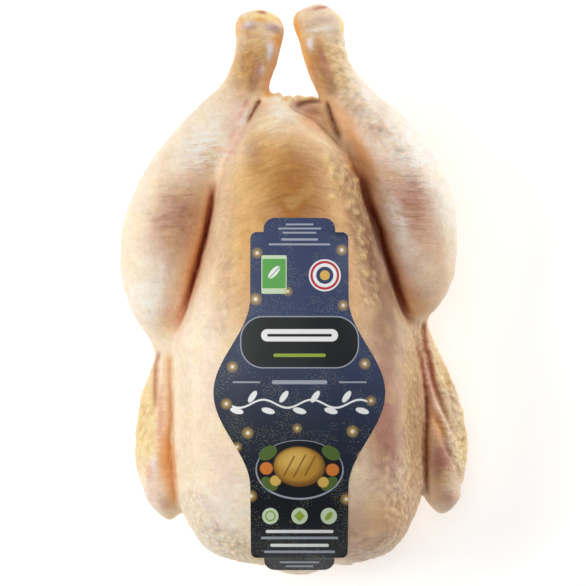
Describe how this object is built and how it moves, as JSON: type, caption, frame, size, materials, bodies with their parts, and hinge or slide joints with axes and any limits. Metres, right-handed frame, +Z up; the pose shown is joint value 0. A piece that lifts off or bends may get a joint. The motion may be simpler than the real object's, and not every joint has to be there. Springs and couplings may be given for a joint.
{
  "type": "whole raw chicken",
  "caption": "Whole raw plucked chicken lying on its back, legs drawn up and wings folded, with a thin shaped card label over the breast.",
  "frame": {"origin": "on the flat of the back, below the middle of the bird as seen from above", "axes": "+Z up out of the breast, +Y from the neck to the drumstick ends, +X to the right of a view from above with the drumsticks at the top"},
  "size_m": [0.2308, 0.3733, 0.1528],
  "materials": {
    "skin": "moist plucked poultry skin, cream to yellow with pink and brown shading, soft sheen",
    "label_card": null
  },
  "bodies": {
    "root": {"chicken": "skin", "label": "label_card"}
  },
  "joints": []
}
